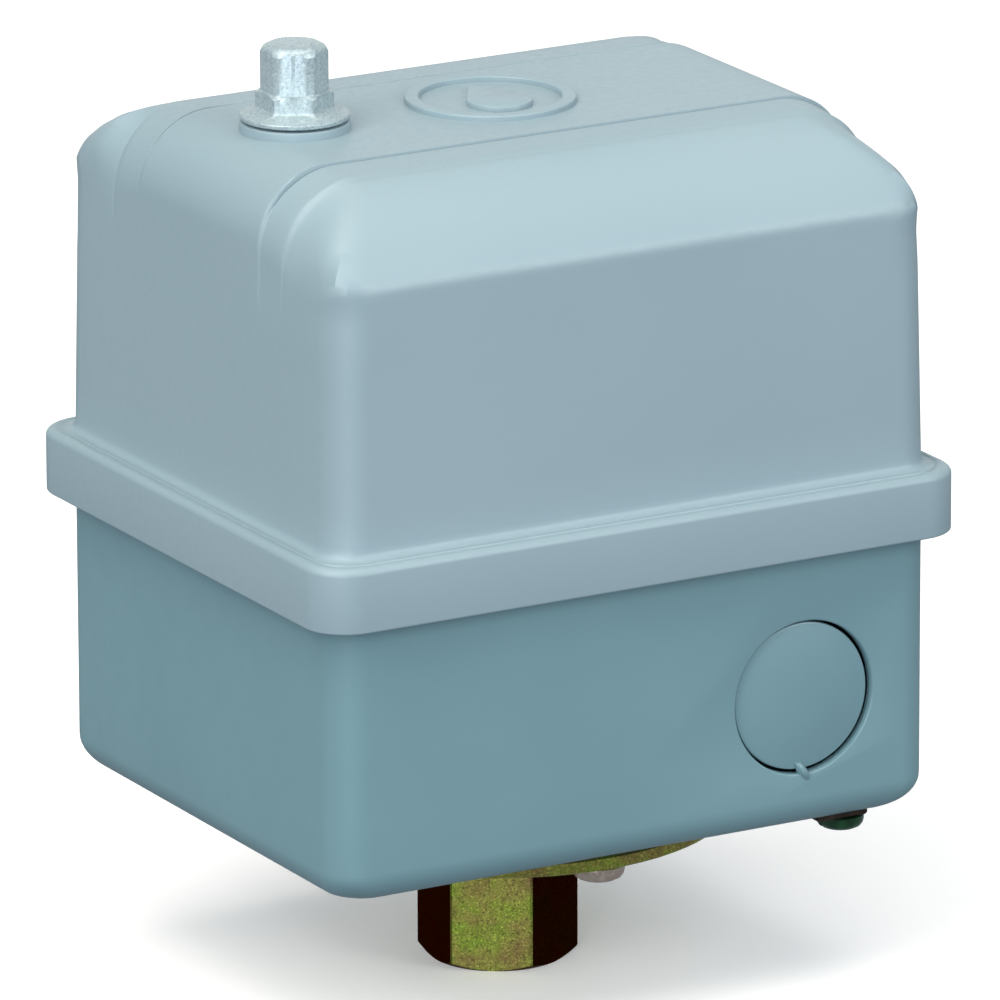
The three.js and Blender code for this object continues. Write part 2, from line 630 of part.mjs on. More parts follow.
// The moulded arm that carries the bridges: a cross bar on two side arms that swing on a pin.
function contactCarrier() {
  const { pinX, pinZ, left, right, halfWidth, bottom, top } = CARRIER;
  const arms = [-1, 1].map((side) => {
    const [near, far] = [side * 14, side * 16.4];
    return box(pinX - 3.5, right, Math.min(near, far), Math.max(near, far), bottom, top);
  });
  return cut(
    join(box(left, right, -halfWidth, halfWidth, bottom, top), ...arms),
    rodY(pinX, pinZ, -REACH, REACH, 1.5 + GAP),
  );
}

// A moving bridge joins the two fixed contacts of one pole.
function contactBridge(pole) {
  const low = CARRIER.top + GAP;
  const x = TERMINAL.contactX;
  const [y0, y1] = [pole - TERMINAL.pitch / 2, pole + TERMINAL.pitch / 2];
  const bar = box(x - 2.5, x + 2.5, y0 - 3.5, y1 + 3.5, low, low + 1.2);
  return join(bar, ...[y0, y1].map((y) => rodZ(x, y, low + 1, low + 2.5, 2.4, 16)));
}

// The snap spring stands between the lever's tail and the carrier.
function snapSpring() {
  const place = { x: 32, y: 0 };
  return coilSpring(place, 3, 0.6, 4, LEVER_TOP + GAP, CARRIER.bottom - GAP);
}

function terminalBlock() {
  const { left, right, halfWidth, bottom, top, barrier } = BLOCK;
  const slab = box(left, right, -halfWidth, halfWidth, bottom, top);
  const walls = [-2, -1, 0, 1, 2].map((i) => {
    const y = THREE.MathUtils.clamp(i * TERMINAL.pitch, -halfWidth + 1, halfWidth - 1);
    return box(left + 12, right, y - 1, y + 1, top - 1, barrier);
  });
  const back = box(left + 12, left + 14, -halfWidth, halfWidth, top - 1, barrier);
  const holes = blockScrewPlaces().map(([x, y]) => rodZ(x, y, bottom - 1, top + 1, SCREW.shank + GAP, 10));
  const threads = terminalRows().map((y) =>
    rodZ(TERMINAL.screwX, y, bottom + 1, top + 1, SCREW.shank + GAP, 10));
  return cut(join(slab, back, ...walls), ...holes, ...threads);
}

function terminalRows() {
  return [-1.5, -0.5, 0.5, 1.5].map((i) => i * TERMINAL.pitch);
}

// A brass strip over the block's edge: the wire lands on top, the fixed contact sits underneath.
function terminalPlate(y) {
  const { screwX, contactX, width, sheet } = TERMINAL;
  const [y0, y1] = [y - width / 2, y + width / 2];
  const [over, under] = [BLOCK.top + GAP, BLOCK.bottom - GAP];
  const edge = BLOCK.right + GAP;
  const strip = join(
    box(screwX - 6, edge + sheet, y0, y1, over, over + sheet),
    box(edge, edge + sheet, y0, y1, under - sheet, over + sheet),
    box(contactX - 4, edge + sheet, y0, y1, under - sheet, under),
    rodZ(contactX, y, CARRIER.top + 2 * GAP + 2.5, under - 1, 2.4, 16),
  );
  return cut(strip, rodZ(screwX, y, over - 1, over + sheet + 1, SCREW.shank + GAP, 10));
}

// A square saddle washer that clamps the wire under its screw.
function terminalClamp(y) {
  const low = BLOCK.top + TERMINAL.sheet + 2 * GAP;
  const x = TERMINAL.screwX;
  const plate = box(x - 4.2, x + 4.2, y - 4.2, y + 4.2, low, low + 1.2);
  return cut(plate, rodZ(x, y, low - 1, low + 2, SCREW.shank + GAP, 10));
}

function downwardScrew(x, y, seat, length) {
  return panHeadScrew(0, 0, 0, length).rotate(180, 0, 0).translate(x, y, seat);
}

piece(contacts, "carrier_pivot_pin", pivotPin(CARRIER.pinX, CARRIER.pinZ, 1.5), springSteel);
piece(contacts, "carrier_pin_clip", pinClip(CARRIER.pinX, CARRIER.pinZ, 1.5), springSteel);
piece(contacts, "contact_carrier", contactCarrier(), darkPhenolic);
[-1, 1].forEach((pole, i) =>
  piece(contacts, `contact_bridge_${i + 1}`, contactBridge(pole * TERMINAL.pitch), brass));
piece(contacts, "snap_spring", snapSpring(), springSteel);
piece(contacts, "terminal_block", terminalBlock(), darkPhenolic);
blockScrewPlaces().forEach(([x, y], i) =>
  piece(contacts, `block_screw_${i + 1}`, downwardScrew(x, y, BLOCK.top + GAP, 12), brightZinc));
terminalRows().forEach((y, i) => {
  const seat = BLOCK.top + TERMINAL.sheet + 1.2 + 3 * GAP;
  piece(contacts, `terminal_plate_${i + 1}`, terminalPlate(y), brass);
  piece(contacts, `terminal_clamp_${i + 1}`, terminalClamp(y), brightZinc);
  piece(contacts, `terminal_screw_${i + 1}`, downwardScrew(TERMINAL.screwX, y, seat, 8), brass);
});

export default pressureSwitch;
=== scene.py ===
"""The looks of a pump pressure switch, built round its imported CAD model.

Shapes are modelled in millimetres, in the CAD's own frame: +Z up, the wide front wall facing -Y, and
the origin in the centre of the pressure port's open end. They become metres when a piece is made.
"""

import json
import math

import bmesh
import bpy
import numpy as np
from mathutils import Matrix, Vector


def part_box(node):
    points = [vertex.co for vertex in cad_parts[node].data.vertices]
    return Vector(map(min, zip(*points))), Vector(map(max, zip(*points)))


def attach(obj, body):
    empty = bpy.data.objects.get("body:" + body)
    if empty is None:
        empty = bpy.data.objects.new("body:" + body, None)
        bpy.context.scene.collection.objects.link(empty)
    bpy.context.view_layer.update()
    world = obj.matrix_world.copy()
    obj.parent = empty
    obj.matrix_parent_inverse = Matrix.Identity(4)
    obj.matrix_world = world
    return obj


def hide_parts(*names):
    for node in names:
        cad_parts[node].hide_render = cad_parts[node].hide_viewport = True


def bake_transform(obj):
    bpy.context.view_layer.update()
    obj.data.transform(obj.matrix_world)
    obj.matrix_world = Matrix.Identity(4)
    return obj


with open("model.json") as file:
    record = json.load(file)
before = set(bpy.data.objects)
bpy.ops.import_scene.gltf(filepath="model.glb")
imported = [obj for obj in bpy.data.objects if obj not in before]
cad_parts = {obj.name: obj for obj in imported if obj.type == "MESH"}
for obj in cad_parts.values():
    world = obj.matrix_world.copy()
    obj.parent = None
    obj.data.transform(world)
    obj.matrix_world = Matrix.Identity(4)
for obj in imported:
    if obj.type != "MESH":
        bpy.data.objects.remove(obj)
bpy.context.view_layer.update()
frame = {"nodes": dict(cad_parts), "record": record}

MM = 0.001
WELD = 1e-4

# ---------------------------------------------------------------- sizes, from the frame


def box_mm(node):
    """A CAD node's lowest and highest corners in millimetres."""
    low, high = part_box(node)
    return np.array(low) / MM, np.array(high) / MM


PAN_LOW, PAN_HIGH = box_mm("base_pan")
COVER_LOW, COVER_HIGH = box_mm("cover")
NUT_LOW, NUT_HIGH = box_mm("cover_nut")
PORT_HIGH = box_mm("port_hex_fitting")[1]
FLANGE_LOW, FLANGE_HIGH = box_mm("diaphragm_flange")
GROUND_LOW, GROUND_HIGH = box_mm("ground_screw")
CLAMP_LOW, CLAMP_HIGH = box_mm("ground_clamp")

HALF_X = PAN_HIGH[0]
HALF_Y = PAN_HIGH[1]
CORNER = 5.0
SHEET = 1.5
PAN_EDGE = 4.8
GAP = 0.3

BAND = COVER_HIGH[0] - HALF_X
BAND_CORNER = 6.2
BAND_BOTTOM = COVER_LOW[2]
BAND_TOP = BAND_BOTTOM + 9.4
BOSS_HEIGHT = 1.2
BOSS_RADIUS = 7.75
BOSS_TOP = COVER_HIGH[2]
ROOF = BOSS_TOP - BOSS_HEIGHT
WALL = 2.5
DRAFT = 0.0165

# The cover's upper part. A level plateau runs along the middle of the roof. Beside it, past a shallow
# step and groove, a strip slopes down to the brow, where the round shoulder begins. A crease ends the
# shoulder at the top of the wall.
PLATEAU = 17.3
PLATEAU_END_RADIUS = 10.5
STRIP_END_RADIUS = 11.3
STEP_WIDTH = 0.05
STEP_BLUR = 0.3
GROOVE_OFFSET = 0.1
GROOVE_DEPTH = 0.9
BROW_LINE_WIDTH = 0.45
BROW_LINE_DEPTH = 0.14
BROW_LEDGE = 0.9
SHOULDER_RADIUS = 35.6
SHOULDER_SINK = 4.0
EDGE_SOFTNESS = 0.5

# Depths below the roof, between which a detail fades away down the end wall.
STEP_FADE = (22, 13)
GROOVE_FADE = (7, 1)

FRONT = {
    "plateau_step": 0.2,
    "groove": 0.17,
    "brow": 23.9,
    "brow_drop": 0.65,
    "crease_drop": 11.8,
    "end_radius": 10.7,
    "corner": 3.1,
    "soft": 0.6,
}
BACK = {
    "plateau_step": 0.0,
    "groove": 0.36,
    "brow": 25.0,
    "brow_drop": 0.6,
    "crease_drop": 9.5,
    "end_radius": 6.1,
    "corner": 3.4,
    "soft": 0.8,
}

KNOCKOUT = Vector((26.5, 0, BAND_BOTTOM - 21.1))
KNOCKOUT_RADIUS = 11.1
SLOT_WIDTH = 0.45
SLUG_SINK = 0.5
SLUG_SHIFT = (-0.3, 0.15)
BADGE = Vector((0, 1.3, ROOF))
BADGE_RADII = (10.0, 12.0)
DROP_RADIUS = 4.6
DROP_TIP = 9.0
STUD_RADIUS = 3.175
NUT_FLATS = 9.53
PORT_TURN = 4.4
PORT_LENGTH = 20.9
THREAD_TURNS = 9

# ---------------------------------------------------------------- mesh tools


def joined(parts):
    """The points and faces of several surfaces, as one list of each."""
    points, faces = [], []
    for part_points, part_faces in parts:
        start = len(points)
        points.extend(part_points)
        faces.extend([[start + i for i in face] for face in part_faces])
    return points, faces


def welded_mesh(name, points, faces, distance):
    """A mesh with its seams closed and its faces turned outwards."""
    mesh = bpy.data.meshes.new(name)
    mesh.from_pydata(points, [], faces)
    work = bmesh.new()
    work.from_mesh(mesh)
    bmesh.ops.remove_doubles(work, verts=work.verts, dist=distance)
    bmesh.ops.recalc_face_normals(work, faces=work.faces)
    work.to_mesh(mesh)
    work.free()
    return mesh


def mesh_piece(name, parts, material, body, replaces=(), sharp=35):
    """One object from several closed surfaces, each a list of points in mm and a list of faces."""
    points, faces = joined(parts)
    mesh = welded_mesh(name, [Vector(p) * MM for p in points], faces, WELD * MM)
    mesh.shade_smooth()
    mesh.set_sharp_from_angle(angle=math.radians(sharp))
    mesh.materials.append(material)
    piece = bpy.data.objects.new(name, mesh)
    bpy.context.scene.collection.objects.link(piece)
    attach(piece, body)
    if replaces:
        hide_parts(*replaces)
    return piece


def skin(rings, close=False, caps=False):
    """Faces between rings of points that each run once round.

    Close joins the last ring to the first, and caps closes the first and the last.
    """
    count = len(rings[0])
    points = [tuple(p) for ring in rings for p in ring]
    faces = []
    pairs = list(range(len(rings) - 1))
    if close:
        pairs.append(-1)
    for k in pairs:
        low = k % len(rings) * count
        high = (k + 1) % len(rings) * count
        for i in range(count):
            j = (i + 1) % count
            faces.append([low + i, low + j, high + j, high + i])
    if caps:
        faces.append(list(range(count)))
        faces.append([(len(rings) - 1) * count + i for i in range(count)])
    return points, faces


def turned(profile, centre=(0, 0, 0), segments=64, axis="Z", close=True):
    """A solid of revolution from (radius, height) pairs about a line through centre."""
    angles = np.linspace(0, 2 * math.pi, segments, endpoint=False)
    rings = []
    for radius, height in profile:
        flat = np.stack([radius * np.cos(angles), radius * np.sin(angles)], 1)
        rings.append([place_on_axis(a, b, height, centre, axis) for a, b in flat])
    return skin(rings, close=close)


def cylinder(radius, low, high):
    """The profile of a solid cylinder."""
    return [(0, low), (radius, low), (radius, high), (0, high)]


def place_on_axis(a, b, height, centre, axis):
    """A point of a turned solid, whose axis is Z or Y."""
    if axis == "Z":
        return (centre[0] + a, centre[1] + b, centre[2] + height)
    return (centre[0] + a, centre[1] + height, centre[2] + b)


def arc(centre, radius, start, end, steps=6):
    """Points on an arc, with angles in degrees."""
    angles = np.radians(np.linspace(start, end, steps))
    return [(centre[0] + radius * math.cos(a), centre[1] + radius * math.sin(a)) for a in angles]


def cut_holes(parts, cutters):
    """The parts less the cutters, by an exact boolean."""
    whole = scratch_object("whole", parts)
    tool = scratch_object("tool", cutters)
    modifier = whole.modifiers.new("cut", "BOOLEAN")
    modifier.operation = "DIFFERENCE"
    modifier.solver = "EXACT"
    modifier.object = tool
    depsgraph = bpy.context.evaluated_depsgraph_get()
    result = bpy.data.meshes.new_from_object(whole.evaluated_get(depsgraph))
    points = [tuple(v.co) for v in result.vertices]
    faces = [list(face.vertices) for face in result.polygons]
    for scrap in (whole, tool):
        bpy.data.objects.remove(scrap)
    return points, faces


def scratch_object(name, parts):
    """A short-lived object in millimetres, for a boolean."""
    points, faces = joined(parts)
    piece = bpy.data.objects.new(name, welded_mesh(name, points, faces, WELD))
    bpy.context.scene.collection.objects.link(piece)
    return piece


# ---------------------------------------------------------------- rounded rectangles


def both_ways(lines, half):
    """Stations from -half to half, with the given lines on both sides of the middle."""
    return [-half, *[-line for line in reversed(lines)], 0, *lines, half]


def perimeter(half_x, half_y, lines_x=(), lines_y=(), steps=10):
    """Base points and outward directions once round a rectangle whose corners turn in a fan.

    The lines are extra stations along the long and short sides, in order, for their positive half.
    """
    along_x = both_ways(lines_x, half_x)
    along_y = both_ways(lines_y, half_y)
    sides = [
        [(half_x, y) for y in along_y],
        [(x, half_y) for x in reversed(along_x)],
        [(-half_x, y) for y in reversed(along_y)],
        [(x, -half_y) for x in along_x],
    ]
    base, angle = [], []
    for turn, side in enumerate(sides):
        base.extend(side)
        angle.extend([turn * math.pi / 2] * len(side))
        for k in range(1, steps):
            base.append(side[-1])
            angle.append((turn + k / steps) * math.pi / 2)
    base = np.array(base)
    angle = np.array(angle)
    return base, np.stack([np.cos(angle), np.sin(angle)], 1)


def rectangle_ring(offset, z, lines_x=(), lines_y=(), steps=10):
    """The case's outline, moved outwards by offset. Its corners open up to the band's corner."""
    radius = CORNER + (BAND_CORNER - CORNER) * min(max(offset / BAND, 0), 1)
    inset = offset - radius
    base, outward = perimeter(HALF_X + inset, HALF_Y + inset, lines_x, lines_y, steps)
    flat = base + outward * radius
    return np.column_stack([flat, np.full(len(flat), z)])


# ---------------------------------------------------------------- cover


def smooth_step(low, high, value):
    """0 at low and beyond it, 1 at high and beyond it, and a smooth rise between."""
    t = np.clip((value - low) / (high - low), 0, 1)
    return t * t * (3 - 2 * t)


def rounded(a, b, radius):
    """Two surfaces, as distances outside each, meeting in a round edge."""
    u, v = a + radius, b + radius
    outside = np.hypot(np.maximum(u, 0), np.maximum(v, 0))
    return np.minimum(np.maximum(u, v), 0) + outside - radius


def cover_field(points):
    """How far points stand outside the cover's outer surface, in mm, negative inside it."""
    x, y, z = np.abs(points[:, 0]), points[:, 1], points[:, 2]
    return np.where(y < 0, half_field(x, -y, z, FRONT), half_field(x, y, z, BACK))


def half_field(x, depth, z, side):
    """The cover's front or back half: its profile from roof to wall, rounded over at the end wall."""
    fall = ROOF - z
    blur = STEP_WIDTH + STEP_BLUR * smooth_step(0.4, 4, fall)
    beside = smooth_step(PLATEAU - blur, PLATEAU + blur, depth)
    line = groove(depth, PLATEAU + GROOVE_OFFSET, side["groove"], GROOVE_DEPTH)
    brow_line = groove(depth, side["brow"], BROW_LINE_WIDTH, BROW_LINE_DEPTH)
    cut = line * smooth_step(*GROOVE_FADE, fall) + brow_line
    step = (side["plateau_step"] * beside + cut) * smooth_step(*STEP_FADE, fall)
    end = x - (HALF_X - lean(z)) + step
    return rounded(end, profile_field(depth, z, step, side), end_rounding(depth, fall, beside, side))


def lean(z):
    """How far the walls lean in at height z, by their draft."""
    return DRAFT * (z - BAND_TOP)


def profile_field(depth, z, step, side):
    """The half's section: a level roof, a sloping strip, the round shoulder and the wall."""
    fall = ROOF - z
    slope = (side["brow_drop"] - side["plateau_step"]) / (side["brow"] - PLATEAU)
    roof = step + slope * np.maximum(depth - PLATEAU, 0) - fall
    wall = depth - (HALF_Y - lean(z))
    crease_z = ROOF - side["crease_drop"]
    crease = np.array([HALF_Y - lean(crease_z), crease_z])
    brow = np.array([side["brow"], ROOF - side["brow_drop"]])
    centre = arc_centre(crease, brow, SHOULDER_RADIUS)
    shoulder = np.hypot(depth - centre[0], z - centre[1]) - SHOULDER_RADIUS
    middle = smooth_step(side["brow"] - 4, side["brow"] - 14, depth)
    shoulder = shoulder - SHOULDER_SINK * middle
    soft = EDGE_SOFTNESS + (side["soft"] - EDGE_SOFTNESS) * smooth_step(1, 6, fall)
    return rounded(np.maximum(roof, wall), shoulder, soft)


def end_rounding(depth, fall, beside, side):
    """The radius between the profile and the end wall, from the plateau out to the corner."""
    brow = side["brow"]
    radius = PLATEAU_END_RADIUS + (STRIP_END_RADIUS - PLATEAU_END_RADIUS) * beside
    ledge = smooth_step(brow - 0.6, brow + 0.6, depth)
    widening = smooth_step(brow, brow + 5, depth)
    brow_radius = STRIP_END_RADIUS + BROW_LEDGE
    radius = radius + BROW_LEDGE * ledge + (side["end_radius"] - brow_radius) * widening
    above = smooth_step(side["crease_drop"] + 5, side["crease_drop"] - 4, fall)
    corner = CORNER + (side["corner"] - CORNER) * above
    narrowing = smooth_step(brow + 2, HALF_Y - 2, depth)
    return radius + (corner - radius) * narrowing


def groove(depth, centre, half_width, size):
    """A shallow rounded groove, as how far it lies below its surroundings."""
    return size * (1 - smooth_step(0, half_width, np.abs(depth - centre)))


def arc_centre(first, second, radius):
    """The centre of the arc that bulges outwards from first to second, below and inside both."""
    middle = (first + second) / 2
    chord = second - first
    inwards = np.array([chord[1], -chord[0]]) / np.linalg.norm(chord)
    if inwards[1] > 0:
        inwards = -inwards
    return middle + inwards * math.sqrt(radius**2 - np.dot(chord, chord) / 4)


HALVINGS = 34


def shoot(start, direction, wall=0.0, reach=60.0):
    """Where rays from inside the cover meet its surface, or the one wall millimetres inside it."""
    near = np.zeros(len(start))
    far = np.full(len(start), reach)
    for _ in range(HALVINGS):
        middle = (near + far) / 2
        inside = cover_field(start + direction * middle[:, None]) + wall < 0
        near = np.where(inside, middle, near)
        far = np.where(inside, far, middle)
    return start + direction * near[:, None]


# Stations along the cover's sides: wide apart, but close together at the groove and the two brows.
COVER_LINES_X = (12.0, 24.0)
GROOVE_LINES = (-0.9, -0.4, -0.2, -0.06, 0, 0.06, 0.14, 0.24, 0.45, 0.6, 1.1, 3.3)
COVER_LINES_Y = (
    6.0,
    12.0,
    *[PLATEAU + offset for offset in GROOVE_LINES],
    FRONT["brow"] - 1.3,
    *np.arange(FRONT["brow"] - 0.7, BACK["brow"] + 0.4, 0.3),
    BACK["brow"] + 0.7,
)

# Where the rays start: on a rectangle that shrinks as they turn from level to straight up.
FAN_HEIGHT = 100.0
FAN_FOOT = (42, 34.5)
FAN_TOP = (31, 26)


def cover_fan(tilts, wall=0.0):
    """Rings over the cover's upper part, from the walls (tilt 0) to the edge of the roof (tilt 90)."""
    rings = []
    for tilt in tilts:
        share = smooth_step(0, 90, tilt)
        half_x = FAN_FOOT[0] + (FAN_TOP[0] - FAN_FOOT[0]) * share
        half_y = FAN_FOOT[1] + (FAN_TOP[1] - FAN_FOOT[1]) * share
        base, outward = perimeter(half_x, half_y, COVER_LINES_X, COVER_LINES_Y)
        start = np.column_stack([base, np.full(len(base), FAN_HEIGHT)])
        rise = math.radians(tilt)
        level = outward * math.cos(rise)
        direction = np.column_stack([level, np.full(len(base), math.sin(rise))])
        rings.append(shoot(start, direction, wall))
    return rings


def cover_wall_rings(heights, wall=0.0):
    """Level rings on the cover's walls."""
    base, outward = perimeter(*FAN_FOOT, COVER_LINES_X, COVER_LINES_Y)
    rings = []
    for z in heights:
        start = np.column_stack([base, np.full(len(base), z)])
        direction = np.column_stack([outward, np.zeros(len(base))])
        rings.append(shoot(start, direction, wall))
    return rings


def cover_roof(wall=0.0):
    """The middle of the roof, as a grid of points straight above the fan's last ring."""
    xs = both_ways(COVER_LINES_X, FAN_TOP[0])
    ys = both_ways(COVER_LINES_Y, FAN_TOP[1])
    start = np.array([(x, y, FAN_HEIGHT) for x in xs for y in ys], float)
    direction = np.tile((0.0, 0.0, 1.0), (len(start), 1))
    points = shoot(start, direction, wall)
    faces = []
    for i in range(len(xs) - 1):
        for j in range(len(ys) - 1):
            a = i * len(ys) + j
            faces.append([a, a + 1, a + len(ys) + 1, a + len(ys)])
    return [tuple(p) for p in points], faces


def band_rings():
    """The band's section, from the inside of the wall down, round the rim and up to the wall's foot.

    The socket holds the pan's rim. A shallow groove runs along the ledge, at the foot of the wall.
    """
    socket_top = BAND_TOP - 2.4
    rim_edge = 0.35
    shoulder = 1.1
    section = [(-WALL, socket_top), (GAP, socket_top), (GAP, BAND_BOTTOM + 0.4)]
    section += [(GAP + 0.4, BAND_BOTTOM), (BAND - rim_edge, BAND_BOTTOM)]
    section += arc((BAND - rim_edge, BAND_BOTTOM + rim_edge), rim_edge, -60, 0, 4)
    section += arc((BAND - shoulder, BAND_TOP - 1.25), shoulder, 0, 82, 8)
    section += [(BAND - 1.3, BAND_TOP - 0.15), (1.8, BAND_TOP - 0.32), (1.62, BAND_TOP - 0.32)]
    section += [(1.5, BAND_TOP - 0.1), (1.25, BAND_TOP - 0.1)]
    section += arc((1.15, BAND_TOP + 1.0), 1.1, 265, 185, 7)
    return [rectangle_ring(offset, z, COVER_LINES_X, COVER_LINES_Y) for offset, z in section]


def cover_shell():
    """The cover's shell: rings from the roof inside, down round the band and up to the roof outside."""
    inner_tilts = [*np.linspace(88, 56, 9), *np.linspace(53, 30, 9), 20, 10, 0]
    outer_tilts = [*np.linspace(0, 33, 10)[1:], *np.linspace(34.5, 62, 24), *np.linspace(63.5, 90, 20)]
    rings = cover_fan([90, *inner_tilts], WALL)
    rings += cover_wall_rings([90, BAND_TOP], WALL)
    rings += band_rings()
    rings += cover_wall_rings([BAND_TOP + 1.6, 82, 88, 94, FAN_HEIGHT])
    rings += cover_fan(outer_tilts)
    return [skin(rings), cover_roof(WALL), cover_roof()]


def drop_outline(grow=0.0):
    """A drop with its point to the back, for the badge."""
    radius = DROP_RADIUS + grow
    tip = DROP_TIP + 1.4 * grow
    lean = math.acos(radius / tip)
    angles = np.linspace(math.pi / 2 + lean, math.pi / 2 - lean + 2 * math.pi, 40)
    points = [(radius * math.cos(a), radius * math.sin(a)) for a in angles]
    return [*points, (0, tip)]


def badge():
    """A plain raised ring round a drop."""
    x, y, z = BADGE
    inner, outer = BADGE_RADII
    edge, height = 0.25, 0.8
    ring = [(inner, -0.3), (outer, -0.3), (outer, height - 0.3)]
    ring += arc((outer - edge, height - edge), edge, 0, 90, 4)
    ring += arc((inner + edge, height - edge), edge, 90, 180, 4)
    drop = []
    for grow, level in ((0, -0.3), (0, height - edge), (-0.08, height - 0.08), (-edge, height)):
        drop.append([(x + a, y - 2.6 + b, z + level) for a, b in drop_outline(grow)])
    return [turned(ring, (x, y, z), 96), skin(drop, caps=True)]


def make_cover(material):
    """The shell with the stud's hole, the boss round it, and the badge."""
    nut = (NUT_LOW + NUT_HIGH) / 2
    hole_radius = STUD_RADIUS + 0.6
    hole = cylinder(hole_radius, ROOF - 9, ROOF + 9)
    shell = cut_holes(cover_shell(), [turned(hole, (nut[0], nut[1], 0), 40, close=False)])
    boss = [(hole_radius, -1), (BOSS_RADIUS, -1), (BOSS_RADIUS, 0.1)]
    boss += arc((BOSS_RADIUS - 0.3, BOSS_HEIGHT - 0.3), 0.3, 0, 90, 4)
    boss.append((hole_radius, BOSS_HEIGHT))
    parts = [shell, turned(boss, (nut[0], nut[1], ROOF), 72), *badge()]
    mesh_piece("moulded_cover", parts, material, "cover", ["cover"], sharp=28)


# ---------------------------------------------------------------- base pan


def pan_shell():
    """The pan's closed shell: outside bend, wall, eased rim and inside bend."""
    low, rim = PAN_LOW[2], PAN_HIGH[2]
    bend = (-PAN_EDGE, low + PAN_EDGE)
    ease = 0.3
    section = arc(bend, PAN_EDGE, -90, 0, 12)
    section += [(0, low + 12), (0, rim - 12), (0, rim - ease), (-ease, rim)]
    section += [(-SHEET + ease, rim), (-SHEET, rim - ease)]
    section += arc(bend, PAN_EDGE - SHEET, 0, -90, 9)
    rings = [rectangle_ring(offset, z, (21,), (17,), 12) for offset, z in section]
    return skin(rings, caps=True)


def slug_piece(side):
    """The knockout's slug: a disc a little behind the wall's face and off centre, held by one tie."""
    face = -SLUG_SINK
    radius = KNOCKOUT_RADIUS - SLOT_WIDTH
    profile = [(0, face), (radius - 0.35, face), (radius - 0.1, face - 0.1), (radius, face - 0.35)]
    profile += [(radius, face - SHEET + 0.1), (0, face - SHEET + 0.1)]
    flipped = [(r, side * h) for r, h in profile]
    centre = (KNOCKOUT.x + SLUG_SHIFT[0], side * HALF_Y, KNOCKOUT.z + SLUG_SHIFT[1])
    return turned(flipped, centre, 96, "Y", close=False)


def tie_piece(side):
    """The sheared tie: a small ridge that bulges out across the slot."""
    rings = []
    for t in np.linspace(-1, 1, 9):
        z = KNOCKOUT.z - KNOCKOUT_RADIUS + 0.2 + 1.4 * t
        bulge = 0.7 * (1 - t * t)
        half = 0.85 - 0.25 * abs(t)
        slant = 0.7 * t
        ring = []
        for a in np.linspace(0, 2 * math.pi, 12, endpoint=False):
            out = max(math.sin(a), -0.2)
            x = KNOCKOUT.x - slant + half * math.cos(a)
            y = HALF_Y - SLUG_SINK - 0.05 + bulge * out + 0.4 * out
            ring.append((x, side * y, z))
        rings.append(ring)
    return skin(rings, caps=True)


def bevel_rim(points, faces, width=0.28):
    """Rounds the outer edge of both knockout holes."""
    mesh = bpy.data.meshes.new("rim")
    mesh.from_pydata(points, [], faces)
    work = bmesh.new()
    work.from_mesh(mesh)

    def on_rim(vertex):
        away = math.hypot(vertex.co.x - KNOCKOUT.x, vertex.co.z - KNOCKOUT.z)
        return abs(away - KNOCKOUT_RADIUS) < 0.05 and abs(abs(vertex.co.y) - HALF_Y) < 0.05

    rim = [edge for edge in work.edges if all(on_rim(v) for v in edge.verts)]
    bmesh.ops.bevel(work, geom=rim, offset=width, segments=3, profile=0.5, affect="EDGES")
    work.verts.index_update()
    result = [tuple(v.co) for v in work.verts], [[v.index for v in face.verts] for face in work.faces]
    work.free()
    return result


def make_pan(material):
    """The pan with its knockouts, and its holes for the port and the ground screw."""
    cutters = []
    for side in (-1, 1):
        centre = (KNOCKOUT.x, side * HALF_Y, KNOCKOUT.z)
        cutters.append(turned(cylinder(KNOCKOUT_RADIUS, -4, 4), centre, 96, "Y", close=False))
    cutters.append(turned(cylinder(23, 20, 30), (0, 0, 0), 72, close=False))
    ground = (GROUND_LOW + GROUND_HIGH) / 2
    cutters.append(turned(cylinder(2.4, 20, 30), (ground[0], ground[1], 0), 24, close=False))
    points, faces = cut_holes([pan_shell()], cutters)
    shell = bevel_rim(points, faces)
    parts = [shell, slug_piece(-1), slug_piece(1), tie_piece(-1), tie_piece(1)]
    mesh_piece("pressed_pan", parts, material, "case", ["base_pan"], sharp=30)


# ---------------------------------------------------------------- nut, port, flange and screws


def hexagon_radius(angles, across_flats, corner):
    """Distance to the edge of a hexagon, cut to a circle of radius corner at its points."""
    sector = np.mod(angles + math.pi / 6, math.pi / 3) - math.pi / 6
    return np.minimum(across_flats / 2 / np.cos(sector), corner)


def ring_of(radii, heights, angles, centre=(0, 0)):
    """A ring of points from radii and heights that may change with the angle."""
    radii = np.broadcast_to(radii, angles.shape)
    heights = np.broadcast_to(heights, angles.shape)
    x = centre[0] + radii * np.cos(angles)
    y = centre[1] + radii * np.sin(angles)
    return np.stack([x, y, heights], 1)


